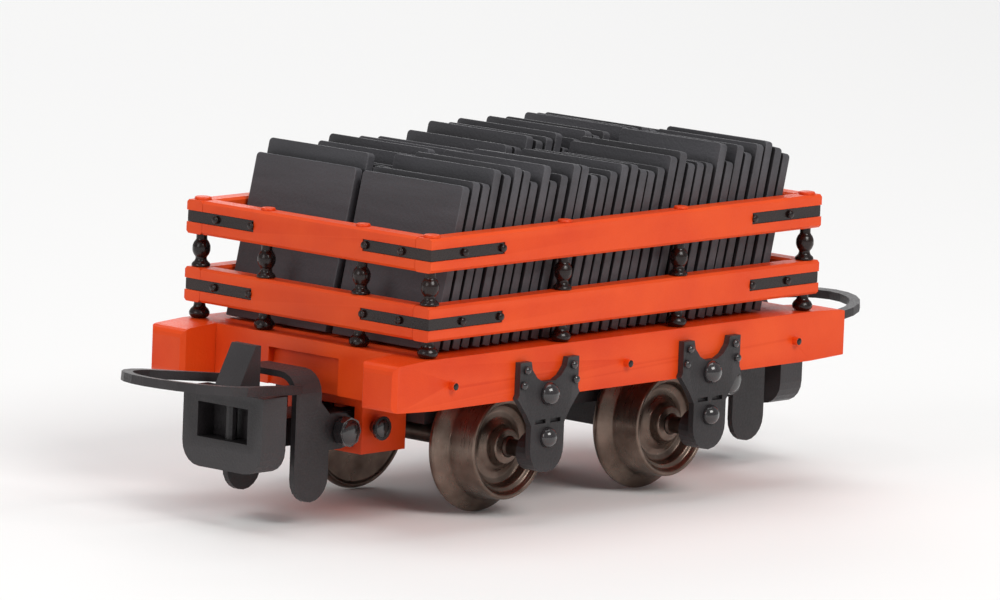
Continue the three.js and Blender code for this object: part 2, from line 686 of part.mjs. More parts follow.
// Pin that carries the loop on the shank, with eight-sided heads.
function loopPin() {
  const headFrom = LOOP_OUTSIDE_Y + 0.12;
  const headRadius = 0.7;
  const headLength = 0.5;
  const stemLength = 2 * headFrom + 0.2;
  const stem = cylinder('y', LOOP_PIN_RADIUS, stemLength, -LOOP_PIVOT_X, 0, LOOP_PIVOT_Z, 16);
  const heads = [-1, 1].map((side) => cylinder(
    'y', headRadius, headLength, -LOOP_PIVOT_X, side * (headFrom + headLength / 2), LOOP_PIVOT_Z, 8,
  ));
  return union([stem, ...heads]);
}

function addCouplers() {
  for (const [end, turn] of [['front', 0], ['rear', Math.PI]]) {
    const peg = pocketPeg();
    const otherPeg = mirrored(peg, false, true);
    addNode(`coupler_pocket_${end}`, pocket(), orangePlastic(), { turn });
    addNode(`pocket_peg_${end}_left`, turn ? otherPeg : peg, blackPlastic(), { turn });
    addNode(`pocket_peg_${end}_right`, turn ? peg : otherPeg, blackPlastic(), { turn });
    addNode(`drawhead_${end}`, drawhead(), blackPlastic(), { turn });
    addNode(`coupling_loop_${end}`, couplingLoop(), blackPlastic(), { turn });
    addNode(`loop_pin_${end}`, loopPin(), blackPlastic(), { turn });
  }
}

// ---------------------------------------------------------------- load

// Small repeatable variation between -1 and 1.
function vary(index, seed) {
  const wave = Math.sin(index * 12.9898 + seed * 78.233) * 43758.5453;
  return 2 * (wave - Math.floor(wave)) - 1;
}

// One slate standing upright at the origin, with rounded top corners, reaching from y0 to y1.
function slate(y0, y1, height) {
  const r = SLATE_CORNER;
  const outline = [
    [y0, -SLATE_THICKNESS],
    [y1, -SLATE_THICKNESS],
    ...arc(y1 - r, height - r, r, 0, 90, 3),
    ...arc(y0 + r, height - r, r, 90, 180, 3),
  ];
  return plateAlong(outline, 0, SLATE_THICKNESS);
}

// One row of slates standing on edge, leaning towards +X and joined by a hidden core.
function slateRow(seed, side) {
  const inner = side * (ROW_GAP / 2);
  const outer = side * (ROW_GAP / 2 + SLATE_WIDTH);
  const y0 = Math.min(inner, outer);
  const y1 = Math.max(inner, outer);
  const length = SLATE_COUNT * SLATE_PITCH;
  const coreRise = 6.4;
  const coreLean = Math.tan(SLATE_LEAN) * coreRise;
  const coreInset = 0.3;
  const coreStart = SLATE_FIRST_X + 0.1;
  const coreEnd = SLATE_FIRST_X + length - 0.3;
  const core = plateAcross([
    [coreStart, LOAD_FLOOR],
    [coreEnd, LOAD_FLOOR],
    [coreEnd + coreLean, LOAD_FLOOR + coreRise],
    [coreStart + coreLean, LOAD_FLOOR + coreRise],
  ], y0 + coreInset, y1 - coreInset);
  const slates = [];
  for (let i = 0; i < SLATE_COUNT; i += 1) {
    const lean = THREE.MathUtils.radToDeg(SLATE_LEAN) + 0.5 * vary(i, seed + 1);
    const slip = 0.1 * vary(i, seed + 2);
    const height = SLATE_HEIGHT + SLATE_HEIGHT_SPREAD * vary(i, seed);
    slates.push(slate(y0 + Math.max(0, slip), y1 + Math.min(0, slip), height)
      .rotate([0, lean, 0])
      .translate([SLATE_FIRST_X + i * SLATE_PITCH, 0, LOAD_FLOOR]));
  }
  const below = box(-FRAME_LENGTH, -FRAME_WIDTH, LOAD_FLOOR - 3, FRAME_LENGTH, FRAME_WIDTH, LOAD_FLOOR);
  return union([core, ...slates]).subtract(below);
}

function addLoad() {
  addNode('slate_row_right', slateRow(3, -1), slatePlastic());
  addNode('slate_row_left', slateRow(8, 1), slatePlastic());
}

addFrame();
addCage();
addWheelsets();
addAxleguards();
addCouplers();
addLoad();

export default wagon;
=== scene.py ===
"""Looks of the narrow-gauge slate wagon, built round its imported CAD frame.

Metres, +X rear, +Y left, +Z up. Sizes given in millimetres are multiplied by MM where they are used.
"""
import json
import math

import bmesh
import bpy
from mathutils import Matrix, Vector


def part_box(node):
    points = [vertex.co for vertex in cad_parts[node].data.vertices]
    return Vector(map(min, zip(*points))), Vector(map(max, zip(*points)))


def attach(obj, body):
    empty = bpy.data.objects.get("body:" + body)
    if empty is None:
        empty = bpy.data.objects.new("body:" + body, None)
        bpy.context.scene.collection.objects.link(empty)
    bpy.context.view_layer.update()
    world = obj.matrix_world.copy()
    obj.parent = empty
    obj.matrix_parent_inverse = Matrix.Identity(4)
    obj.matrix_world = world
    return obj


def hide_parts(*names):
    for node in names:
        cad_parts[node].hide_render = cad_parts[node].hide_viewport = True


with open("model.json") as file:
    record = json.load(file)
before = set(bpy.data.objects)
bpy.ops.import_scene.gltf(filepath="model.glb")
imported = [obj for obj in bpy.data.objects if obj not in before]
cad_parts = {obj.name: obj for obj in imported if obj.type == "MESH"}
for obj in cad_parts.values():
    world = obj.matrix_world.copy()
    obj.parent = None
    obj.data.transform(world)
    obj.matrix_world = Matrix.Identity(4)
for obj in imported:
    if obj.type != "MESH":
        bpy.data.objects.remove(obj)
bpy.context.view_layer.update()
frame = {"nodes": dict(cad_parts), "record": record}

MM = 0.001
ENDS = ("front", "rear")
SIDES = ("left", "right")
STOREYS = ("lower", "upper")
END_SIGNS = (("front", -1), ("rear", 1))
SIDE_SIGNS = (("left", 1), ("right", -1))

# Camera: place in metres, then azimuth, elevation and roll in degrees, lens and sensor in millimetres.
CAMERA_PLACE = Vector((-0.34949, -0.31589, 0.07897))
CAMERA_ANGLES = (-137.867, 8.441, 2.195)
CAMERA_LENS = 360
CAMERA_SENSOR = 36

# Floor, in metres: half its side, and how far it lies under the wheels.
FLOOR_HALF = 3.0
FLOOR_DROP = 0.00002

# Wheels and axles, in millimetres, and the number of sides they are turned with.
FLANGE_DEPTH = 0.75
WHEEL_ROUNDING = 0.07
WHEEL_SEGMENTS = 96
AXLE_ROUNDING = 0.03
AXLE_SEGMENTS = 48

# Slates, in millimetres, except the count, the lean in radians and the seeds of their variation.
SLATE_COUNT = 34
SLATE_PITCH = 0.69
SLATE_THICKNESS = 0.49
SLATE_LEAN = math.radians(13)
SLATE_CORNER = 0.2
SLATE_HEIGHT = 8.15
SLATE_HEIGHT_SPREAD = 0.5
SLATE_START = 0.03
SLATE_FOOT = 0.13
SLATE_SLIP = 0.1
SLATE_BEVEL = 0.05
SLATE_SEEDS = (("left", 8), ("right", 3))
CORE_INSET = 0.45
CORE_FOOT = 0.1
CORE_TOP = 6.2
CORE_SHORTENING = 0.4

# Fixings, in millimetres. Distances are from the edges or the middle of the CAD node that carries them.
STRAP_RIVETS_SIDE = (2.36, 4.96)
STRAP_RIVETS_END = (1.96, 4.26)
STRAP_RIVET_RADIUS = 0.19
STRAP_RIVET_HEIGHT = 0.1
# The CAD axleguard's own domes reach this far beyond its plate.
GUARD_DOME_REACH = 0.48
# Bosses of an axleguard: label, distance below the top, radius and height.
GUARD_DOMES = (("upper", 1.62, 0.56, 0.5), ("lower", 3.68, 0.5, 0.46))
# Rivets of an axleguard: distance along X from the middle, distance below the top.
GUARD_RIVETS = ((-1.62, 0.38), (1.62, 0.38), (-1.8, 1.08), (1.8, 1.08))
GUARD_RIVET_RADIUS = 0.2
GUARD_RIVET_HEIGHT = 0.14
GUARD_RIVET_PROUD = 0.09
PIN_CROWN_RADIUS = 0.6
PIN_CROWN_HEIGHT = 0.2
PEG_CROWN_RADIUS = 0.42
PEG_CROWN_HEIGHT = 0.1
BOLT_SPACING = 12.15
BOLT_BELOW_TOP = 1.32
BOLT_TIP_RADIUS = 0.17
BOLT_TIP_HEIGHT = 0.04
DOME_SKIRT = 0.03
DOME_SEGMENTS = 28

# Stanchions, in millimetres. The nubs are the low caps on the top boards, by the kind of stanchion.
BEAD_RISE = 0.07
NUB_HEIGHT = 0.13
NUB_RADII = (("corner", 0.42), ("side", 0.36), ("end", 0.36))
NUB_ROUNDING = 0.05
POST_ROUNDING = 0.06
POST_SEGMENTS = 40

# Width of the softened edges on the CAD nodes whose names start so, in millimetres.
BEVEL_WIDTHS = {
    "solebar": 0.05, "headstock": 0.06, "side_board": 0.06, "end_board": 0.06, "coupler_pocket": 0.1,
    "drawhead": 0.1, "coupling_loop": 0.09, "axleguard": 0.05, "loop_pin": 0.08,
}


# ---------------------------------------------------------------- camera, light and floor

def add_camera():
    """A long lens at three quarters from the front right, slightly above the wagon."""
    data = bpy.data.cameras.new("camera")
    data.lens = CAMERA_LENS
    data.sensor_width = CAMERA_SENSOR
    data.clip_start = 0.01
    data.clip_end = 10
    camera = bpy.data.objects.new("camera", data)
    bpy.context.scene.collection.objects.link(camera)
    azimuth, elevation, roll = (math.radians(angle) for angle in CAMERA_ANGLES)
    level = math.cos(elevation)
    back = Vector((level * math.cos(azimuth), level * math.sin(azimuth), math.sin(elevation)))
    level_right = Vector((-math.sin(azimuth), math.cos(azimuth), 0))
    right = Matrix.Rotation(roll, 3, back) @ level_right
    turn = Matrix((right, back.cross(right), back)).transposed().to_4x4()
    camera.matrix_world = Matrix.Translation(CAMERA_PLACE) @ turn
    bpy.context.scene.camera = camera


def add_area(name, place, aim, size, watts, colour=(1, 1, 1)):
    data = bpy.data.lights.new(name, "AREA")
    data.shape = "RECTANGLE"
    data.size, data.size_y = size
    data.energy = watts
    data.color = colour
    light = bpy.data.objects.new(name, data)
    bpy.context.scene.collection.objects.link(light)
    light.location = place
    light.rotation_euler = (Vector(aim) - Vector(place)).to_track_quat("-Z", "Y").to_euler()


def add_lights():
    middle = (0, 0, 0.008)
    add_area("key_light", (-0.05, -0.30, 0.26), middle, (0.2, 0.14), 0.74, (1, 0.985, 0.96))
    add_area("front_light", (-0.32, 0.02, 0.14), middle, (0.14, 0.14), 0.18)
    add_area("top_light", (0.02, 0.05, 0.34), middle, (0.26, 0.26), 0.42)
    add_area("back_light", (0.22, 0.28, 0.2), middle, (0.2, 0.2), 0.3)
    world = bpy.data.worlds.new("studio")
    world.use_nodes = True
    background = world.node_tree.nodes["Background"]
    background.inputs["Color"].default_value = (1, 1, 1, 1)
    background.inputs["Strength"].default_value = 0.36
    bpy.context.scene.world = world
    bpy.context.scene.view_settings.view_transform = "Standard"


def add_floor():
    mesh = bpy.data.meshes.new("floor")
    half = FLOOR_HALF
    corners = [(-half, -half, 0), (half, -half, 0), (half, half, 0), (-half, half, 0)]
    mesh.from_pydata(corners, [], [(0, 1, 2, 3)])
    floor = bpy.data.objects.new("floor", mesh)
    floor.location.z = -FLOOR_DROP
    bpy.context.scene.collection.objects.link(floor)
    surface = bpy.data.materials.new("floor")
    surface.use_nodes = True
    shader = surface.node_tree.nodes["Principled BSDF"]
    shader.inputs["Base Color"].default_value = (0.93, 0.93, 0.93, 1)
    shader.inputs["Roughness"].default_value = 0.85
    mesh.materials.append(surface)


# ---------------------------------------------------------------- materials

def linear(hex_colour):
    """Linear RGB of a hex colour."""
    values = [((hex_colour >> shift) & 255) / 255 for shift in (16, 8, 0)]
    return [v / 12.92 if v <= 0.04045 else ((v + 0.055) / 1.055) ** 2.4 for v in values]


def new_material(name, roughness, metallic=0.0, coat=0.0, specular=0.5):
    material = bpy.data.materials.new(name)
    material.use_nodes = True
    shader = material.node_tree.nodes["Principled BSDF"]
    shader.inputs["Metallic"].default_value = metallic
    shader.inputs["Roughness"].default_value = roughness
    shader.inputs["Coat Weight"].default_value = coat
    shader.inputs["Coat Roughness"].default_value = 0.18
    shader.inputs["Specular IOR Level"].default_value = specular
    return material, material.node_tree, shader


def add_noise(tree, scale, detail=4.0, stretch=(1, 1, 1)):
    """Noise in millimetres of the object's own space."""
    place = tree.nodes.new("ShaderNodeTexCoord")
    mapping = tree.nodes.new("ShaderNodeMapping")
    mapping.inputs["Scale"].default_value = [1000 * s for s in stretch]
    noise = tree.nodes.new("ShaderNodeTexNoise")
    noise.inputs["Scale"].default_value = scale
    noise.inputs["Detail"].default_value = detail
    tree.links.new(place.outputs["Object"], mapping.inputs["Vector"])
    tree.links.new(mapping.outputs["Vector"], noise.inputs["Vector"])
    return noise.outputs["Fac"]


def add_ramp(tree, factor, stops):
    ramp = tree.nodes.new("ShaderNodeValToRGB")
    elements = ramp.color_ramp.elements
    while len(elements) < len(stops):
        elements.new(0.5)
    for element, (position, colour) in zip(elements, stops):
        element.position = position
        element.color = (*colour, 1)
    tree.links.new(factor, ramp.inputs["Fac"])
    return ramp.outputs["Color"]


def add_range(tree, factor, low, high):
    node = tree.nodes.new("ShaderNodeMapRange")
    node.inputs["From Min"].default_value = 0.3
    node.inputs["From Max"].default_value = 0.7
    node.inputs["To Min"].default_value = low
    node.inputs["To Max"].default_value = high
    tree.links.new(factor, node.inputs["Value"])
    return node.outputs["Result"]


def add_edge_wear(tree, low, high):
    """1 on convex edges, 0 on flats."""
    geometry = tree.nodes.new("ShaderNodeNewGeometry")
    node = tree.nodes.new("ShaderNodeMapRange")
    node.inputs["From Min"].default_value = low
    node.inputs["From Max"].default_value = high
    tree.links.new(geometry.outputs["Pointiness"], node.inputs["Value"])
    return node.outputs["Result"]


def add_painted_shade(tree, reach_mm, depth):
    """Painted shade: rises from 0 in the open to depth in narrow gaps, by ambient occlusion."""
    node = tree.nodes.new("ShaderNodeAmbientOcclusion")
    node.samples = 6
    node.only_local = True
    node.inputs["Distance"].default_value = reach_mm * MM
    spread = tree.nodes.new("ShaderNodeMapRange")
    spread.inputs["From Min"].default_value = 0.25
    spread.inputs["From Max"].default_value = 0.9
    spread.inputs["To Min"].default_value = depth
    spread.inputs["To Max"].default_value = 0
    tree.links.new(node.outputs["AO"], spread.inputs["Value"])
    return spread.outputs["Result"]


def mix(tree, factor, first, second):
    node = tree.nodes.new("ShaderNodeMix")
    node.data_type = "RGBA"
    for socket, value in ((0, factor), (6, first), (7, second)):
        if isinstance(value, bpy.types.NodeSocket):
            tree.links.new(value, node.inputs[socket])
        else:
            node.inputs[socket].default_value = value if socket == 0 else (*value, 1)
    return node.outputs[2]


def add_bump(tree, shader, height, distance_mm, strength=1.0):
    bump = tree.nodes.new("ShaderNodeBump")
    bump.inputs["Distance"].default_value = distance_mm * MM
    bump.inputs["Strength"].default_value = strength
    tree.links.new(height, bump.inputs["Height"])
    tree.links.new(bump.outputs["Normal"], shader.inputs["Normal"])


def moulded_plastic(name, colours, roughness, grain_mm=0.012, coat=0.0, wear=0.25, specular=0.5):
    """Moulded plastic: cloudy colour, fine grain in height and gloss, paler rubbed edges."""
    dark, base, light = colours
    material, tree, shader = new_material(name, roughness[0], coat=coat, specular=specular)
    cloud = add_noise(tree, 0.35, 3)
    grain = add_noise(tree, 9.0, 3)
    colour = add_ramp(tree, cloud, [(0.3, dark), (0.5, base), (0.72, light)])
    edge = add_edge_wear(tree, 0.53, 0.62)
    amount = tree.nodes.new("ShaderNodeMath")
    amount.operation = "MULTIPLY"
    amount.inputs[1].default_value = wear
    tree.links.new(edge, amount.inputs[0])
    worn = mix(tree, amount.outputs[0], colour, [min(1, v * 1.6 + 0.03) for v in light])
    tree.links.new(worn, shader.inputs["Base Color"])
    tree.links.new(add_range(tree, grain, *roughness), shader.inputs["Roughness"])
    add_bump(tree, shader, grain, grain_mm)
    return material


def slate_surface():
    """Grey slates: each a little different, with faint cleavage streaks, dry, rough faces, and painted shade
    near-black in the narrow gaps between them.
    """
    material, tree, shader = new_material("slate_plastic", 0.6)
    streak = add_noise(tree, 1.0, 6, (0.9, 0.15, 1.6))
    each = add_noise(tree, 1.1, 1, (1.0, 0.05, 0.05))
    grain = add_noise(tree, 7.0, 4)
    stops = [(0.3, linear(0x363538)), (0.5, linear(0x3F3E42)), (0.7, linear(0x4A494D))]
    base = add_ramp(tree, each, stops)
    streaks = add_ramp(tree, streak, [(0.35, linear(0x313033)), (0.65, linear(0x504F54))])
    colour = mix(tree, 0.3, base, streaks)
    amount = tree.nodes.new("ShaderNodeMath")
    amount.operation = "MULTIPLY"
    amount.inputs[1].default_value = 0.4
    tree.links.new(add_edge_wear(tree, 0.54, 0.64), amount.inputs[0])
    worn = mix(tree, amount.outputs[0], colour, linear(0x85858C))
    # Painted shade: darkens the slate faces to near-black deep in the gaps.
    deep = mix(tree, add_painted_shade(tree, 0.6, 0.96), worn, linear(0x0B090A))
    tree.links.new(deep, shader.inputs["Base Color"])
    tree.links.new(add_range(tree, grain, 0.42, 0.62), shader.inputs["Roughness"])
    add_bump(tree, shader, grain, 0.02)
    return material


def turned_metal(name, colours, roughness):
    """Darkened turned metal: fine rings from the cutting tool, cloudy patina, and painted shade in its
    recesses.
    """
    dark, base, light = colours
    material, tree, shader = new_material(name, roughness[0], metallic=0.85)
    cloud = add_noise(tree, 0.8, 4)
    rings = add_noise(tree, 1.0, 2, (1.2, 14.0, 1.2))
    colour = add_ramp(tree, cloud, [(0.3, dark), (0.5, base), (0.7, light)])
    # Painted shade: near-black in the recesses of the turned metal, where light does not reach.
    recess_shaded = mix(tree, add_painted_shade(tree, 0.8, 0.85), colour, linear(0x120C0A))
    tree.links.new(recess_shaded, shader.inputs["Base Color"])
    tree.links.new(add_range(tree, rings, *roughness), shader.inputs["Roughness"])
    add_bump(tree, shader, rings, 0.01, 0.6)
    return material


def shades(*hex_colours):
    """Dark, base and light shades of a material, as linear RGB."""
    return [linear(colour) for colour in hex_colours]


def make_materials():
    orange = shades(0xD93A05, 0xE04206, 0xE74A0A)
    black = shades(0x1C191B, 0x242022, 0x2D292B)
    brown = shades(0x140807, 0x1B0C0A, 0x24120E)
    shadow = shades(0x060505, 0x090808, 0x0D0B0B)
    wheel = shades(0x5E5047, 0x75655B, 0x8A796E)
    axle = shades(0x3B302C, 0x4C3F39, 0x5F5048)
    return {
        "orange_plastic": moulded_plastic("orange_plastic", orange, (0.34, 0.5), 0.01, wear=0.22,
                                          specular=0.3),
        "black_plastic": moulded_plastic("black_plastic", black, (0.38, 0.56), 0.016, wear=0.35),
        "brown_plastic": moulded_plastic("brown_plastic", brown, (0.18, 0.32), 0.006, coat=0.15, wear=0.12,
                                         specular=0.35),
        "gloss_black": moulded_plastic("gloss_black", black, (0.08, 0.16), 0.003, coat=0.8, wear=0.1),
        "slate_plastic": slate_surface(),
        # Near-black painted shade for the core behind the slate gaps.
        "slate_gap": moulded_plastic("slate_gap", shadow, (0.7, 0.85)),
        "wheel_metal": turned_metal("wheel_metal", wheel, (0.24, 0.4)),
        "axle_metal": turned_metal("axle_metal", axle, (0.3, 0.45)),
    }


# ---------------------------------------------------------------- mesh helpers

def put(name, mesh, body, slot, surface, *nodes):
    """Makes a piece from a mesh, gives it a surface, and rides it on its body in place of its CAD nodes."""
    piece = bpy.data.objects.new(name, mesh)
    bpy.context.scene.collection.objects.link(piece)
    mesh.materials.append(surface)
    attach(piece, body)
    if nodes:
        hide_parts(*nodes)
    return piece


def smooth(mesh, degrees=32):
    for polygon in mesh.polygons:
        polygon.use_smooth = True
    mesh.set_sharp_from_angle(angle=math.radians(degrees))


def lathe(name, profile, axis, centre, segments=64):
    """Turns a profile of (radius, distance) in millimetres about an axis through a centre in metres."""
    mesh = bpy.data.meshes.new(name)
    built = bmesh.new()
    rings = []
    for radius, along in profile:
        if radius < 1e-6:
            rings.append([built.verts.new(turned(0, 0, along, axis, centre))])
            continue
        ring = []
        for step in range(segments):
            angle = 2 * math.pi * step / segments
            across, up = radius * math.cos(angle), radius * math.sin(angle)
            ring.append(built.verts.new(turned(across, up, along, axis, centre)))
        rings.append(ring)
    closed = len(rings[0]) > 1 and len(rings[-1]) > 1
    pairs = list(zip(rings, rings[1:])) + ([(rings[-1], rings[0])] if closed else [])
    for first, second in pairs:
        for step in range(segments):
            following = (step + 1) % segments
            corners = [first[step % len(first)], first[following % len(first)]]
            corners += [second[following % len(second)], second[step % len(second)]]
            unique = list(dict.fromkeys(corners))
            if len(unique) >= 3:
                built.faces.new(unique)
    bmesh.ops.recalc_face_normals(built, faces=built.faces)
    built.to_mesh(mesh)
    built.free()
    smooth(mesh)
    return mesh


def turned(across, up, along, axis, centre):
    """A point of a turned piece, in metres, with its axis laid along Y or Z."""
    offset = Vector((across, along, up)) if axis == "y" else Vector((across, up, along))
    return offset * MM + Vector(centre)


def middle_of(node):
    low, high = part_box(node)
    return (low + high) / 2


# ---------------------------------------------------------------- pieces

def round_profile(profile, radius, steps=3):
    """Rounds the inner corners of a profile of (radius, distance) points."""
    result = [profile[0]]
    for before, corner, after in zip(profile, profile[1:], profile[2:]):
        corner_v = Vector(corner)
        to_before = Vector(before) - corner_v
        to_after = Vector(after) - corner_v
        cut = min(radius, to_before.length * 0.45, to_after.length * 0.45)
        start = corner_v + to_before.normalized() * cut
        end = corner_v + to_after.normalized() * cut
        for step in range(steps + 1):
            t = step / steps
            point = start * (1 - t) ** 2 + corner_v * 2 * t * (1 - t) + end * t ** 2
            result.append((point.x, point.y))
    result.append(profile[-1])
    return result


def stanchion_profile(foot, lower_top, bead, upper_top):
    """Ball foot on the frame, collar on the lower board, bead halfway up, plain top hidden by the nub."""
    return [
        (0, foot), (0.36, foot), (0.48, foot + 0.12), (0.5, foot + 0.26), (0.42, foot + 0.42),
        (0.3, foot + 0.52), (0.27, foot + 0.66),
        (0.27, lower_top + 0.02), (0.46, lower_top + 0.02), (0.44, lower_top + 0.14),
        (0.29, lower_top + 0.28), (0.26, bead - 0.42), (0.36, bead - 0.3), (0.43, bead - 0.12),
        (0.43, bead + 0.12), (0.36, bead + 0.3), (0.26, bead + 0.42), (0.26, upper_top + 0.02),
        (0, upper_top + 0.02),
    ]


def add_stanchions(materials):
    """Turned stanchions in place of the plain CAD ones, each with a low nub on the top board."""
    for end in ENDS:
        for side in SIDES:
            lower_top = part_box(f"side_board_{side}_lower")[1].z / MM
            upper_bottom, upper_top = (corner.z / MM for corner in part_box(f"side_board_{side}_upper"))
            bead = (lower_top + upper_bottom) / 2 + BEAD_RISE
            nub_top = upper_top + NUB_HEIGHT
            for kind, radius in NUB_RADII:
                node = f"stanchion_{kind}_{end}_{side}"
                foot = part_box(node)[0].z / MM
                middle = middle_of(node)
                centre = (middle.x, middle.y, 0)
                post = round_profile(stanchion_profile(foot, lower_top, bead, upper_top), POST_ROUNDING)
                post_name = f"post_{kind}_{end}_{side}"
                post_mesh = lathe(post_name, post, "z", centre, POST_SEGMENTS)
                put(post_name, post_mesh, "wagon", "brown_plastic", materials["brown_plastic"], node)
                nub = [(0, upper_top), (radius, upper_top), (radius * 0.9, nub_top), (0, nub_top)]
                cap_name = f"cap_{kind}_{end}_{side}"
                cap_mesh = lathe(cap_name, round_profile(nub, NUB_ROUNDING), "z", centre, POST_SEGMENTS)
                put(cap_name, cap_mesh, "wagon", "orange_plastic", materials["orange_plastic"])


def wheel_profile(radius, back, outer):
    """Deep flange, coned tread, dished face and raised hub, from the back face to the outer face."""
    tread = radius - FLANGE_DEPTH
    return [
        (0.52, back), (0.9, back), (1.1, back + 0.12), (radius - 0.35, back + 0.12), (radius - 0.2, back),
        (radius - 0.06, back + 0.06), (radius, back + 0.24), (radius - 0.05, back + 0.38),
        (tread + 0.3, back + 0.6), (tread + 0.06, back + 0.76), (tread - 0.08, outer - 0.06),
        (tread - 0.14, outer), (tread - 0.28, outer), (tread - 0.42, outer - 0.26),
        (tread - 0.62, outer - 0.34), (tread - 0.74, outer - 0.72), (tread - 1.0, outer - 0.84),
        (tread - 1.3, outer - 0.8), (0.96, outer - 0.6), (0.84, outer - 0.14), (0.52, outer - 0.05),
    ]


def add_wheels(materials):
    """Turned wheels and axles with pointed ends, in place of the plain CAD ones."""
    for end in ENDS:
        axle_low, axle_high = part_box(f"axle_{end}")
        middle = (axle_low + axle_high) / 2
        centre = (middle.x, 0, middle.z)
        for side, sy in SIDE_SIGNS:
            node = f"wheel_{end}_{side}"
            low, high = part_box(node)
            radius = (high.z - low.z) / 2 / MM
            back, outer = sorted((abs(low.y) / MM, abs(high.y) / MM))
            rounded = round_profile(wheel_profile(radius, back, outer), WHEEL_ROUNDING)
            profile = [(r, sy * y) for r, y in rounded]
            mesh = lathe(f"tyre_{end}_{side}", profile, "y", centre, WHEEL_SEGMENTS)
            put(f"tyre_{end}_{side}", mesh, f"wheelset_{end}", "wheel_metal", materials["wheel_metal"], node)
        tip = axle_high.y / MM
        half = [(0.5, tip - 1.9), (0.4, tip - 1.8), (0.4, tip - 0.4), (0, tip)]
        profile = [(r, -y) for r, y in reversed(half)] + half
        mesh = lathe(f"shaft_{end}", round_profile(profile, AXLE_ROUNDING), "y", centre, AXLE_SEGMENTS)
        surface = materials["axle_metal"]
        put(f"shaft_{end}", mesh, f"wheelset_{end}", "axle_metal", surface, f"axle_{end}")


def vary(index, seed):
    """Small repeatable variation between -1 and 1, by the same formula as the CAD slates."""
    wave = math.sin(index * 12.9898 + seed * 78.233) * 43758.5453
    return 2 * (wave - math.floor(wave)) - 1


def slate_outline(inner, outer, foot, top):
    """Outline (across, up) of one slate: square foot and rounded top corners."""
    radius = SLATE_CORNER
    steps = 4
    points = [(inner, foot), (outer, foot)]
    for centre, start in ((outer - radius, 0), (inner + radius, 90)):
        for step in range(steps + 1):
            angle = math.radians(start + 90 * step / steps)
            points.append((centre + radius * math.cos(angle), top - radius + radius * math.sin(angle)))
    return points


def add_prism(built, outline, thickness, place):
    """Adds a plate to a bmesh: an outline (across, up) given a thickness along X, then placed by a matrix."""
    near = [built.verts.new(place @ (Vector((0, y, z)) * MM)) for y, z in outline]
    far = [built.verts.new(place @ (Vector((thickness, y, z)) * MM)) for y, z in outline]
    built.faces.new(near)
    built.faces.new(list(reversed(far)))
    for i in range(len(outline)):
        j = (i + 1) % len(outline)
        built.faces.new((near[j], near[i], far[i], far[j]))


def finish_mesh(name, built):
    """Turns a bmesh into a mesh with its faces outward."""
    mesh = bpy.data.meshes.new(name)
    bmesh.ops.recalc_face_normals(built, faces=built.faces)
    built.to_mesh(mesh)
    built.free()
    return mesh


def slate_row_mesh(name, low, inner, outer, seed):
    """One row: each slate its own rounded plate, leaning to the rear at an even pitch."""
    lean = Matrix.Rotation(SLATE_LEAN, 4, "Y")
    built = bmesh.new()
    for index in range(SLATE_COUNT):
        slip = SLATE_SLIP * vary(index, seed + 2)
        top = SLATE_HEIGHT + SLATE_HEIGHT_SPREAD * vary(index, seed)
        outline = slate_outline(inner + max(0, slip), outer + min(0, slip), SLATE_FOOT, top)
        foot_x = low.x + (index * SLATE_PITCH + SLATE_START) * MM
        add_prism(built, outline, SLATE_THICKNESS, Matrix.Translation(Vector((foot_x, 0, low.z))) @ lean)
    mesh = finish_mesh(name, built)
    smooth(mesh, 40)
    return mesh


def slate_core_mesh(name, low, inner, outer):
    """The core behind the gaps of one row, sheared to the slates' lean; it is coloured near-black as painted
    shade in the gaps.
    """
    left, right = inner + CORE_INSET, outer - CORE_INSET
    outline = [(left, CORE_FOOT), (right, CORE_FOOT), (right, CORE_TOP), (left, CORE_TOP)]
    length = SLATE_COUNT * SLATE_PITCH - CORE_SHORTENING
    shear = Matrix.Identity(4)
    shear[0][2] = math.tan(SLATE_LEAN)
    foot_x = low.x + (SLATE_START + CORE_FOOT) * MM
    built = bmesh.new()
    add_prism(built, outline, length, Matrix.Translation(Vector((foot_x, 0, low.z))) @ shear)
    return finish_mesh(name, built)


def add_slates(materials):
    """Rows of slates on edge in place of the CAD rows, each over its core, coloured near-black as painted
    shade in the gaps.
    """
    for side, seed in SLATE_SEEDS:
        low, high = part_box(f"slate_row_{side}")
        inner, outer = sorted((low.y / MM, high.y / MM))
        row = slate_row_mesh(f"slates_{side}", low, inner, outer, seed)
        slates = put(f"slates_{side}", row, "load", "slate_plastic", materials["slate_plastic"],
                     f"slate_row_{side}")
        add_bevel(slates, SLATE_BEVEL)
        core = slate_core_mesh(f"slate_core_{side}", low, inner, outer)
        # The core is coloured near-black: painted shade in the gaps between slates.
        put(f"slate_core_{side}", core, "load", "slate_plastic", materials["slate_gap"])


def dome_profile(radius, height, steps=7):
    """Half an ellipse, from a short skirt sunk into the part up to the crown."""
    profile = [(0, -DOME_SKIRT), (radius, -DOME_SKIRT)]
    for step in range(steps):
        lift = math.pi / 2 * step / steps
        profile.append((radius * math.cos(lift), height * math.sin(lift)))
    profile.append((0, height))
    return profile


def add_dome(name, base, outward, radius, height, slot, surface, body="wagon"):
    """Domed head of a rivet, bolt or boss: base point in metres, sizes in millimetres."""
    mesh = lathe(name, dome_profile(radius, height), "z", (0, 0, 0), DOME_SEGMENTS)
    turn = Vector(outward).to_track_quat("Z", "Y").to_matrix().to_4x4()
    mesh.transform(Matrix.Translation(Vector(base)) @ turn)
    put(name, mesh, body, slot, surface)


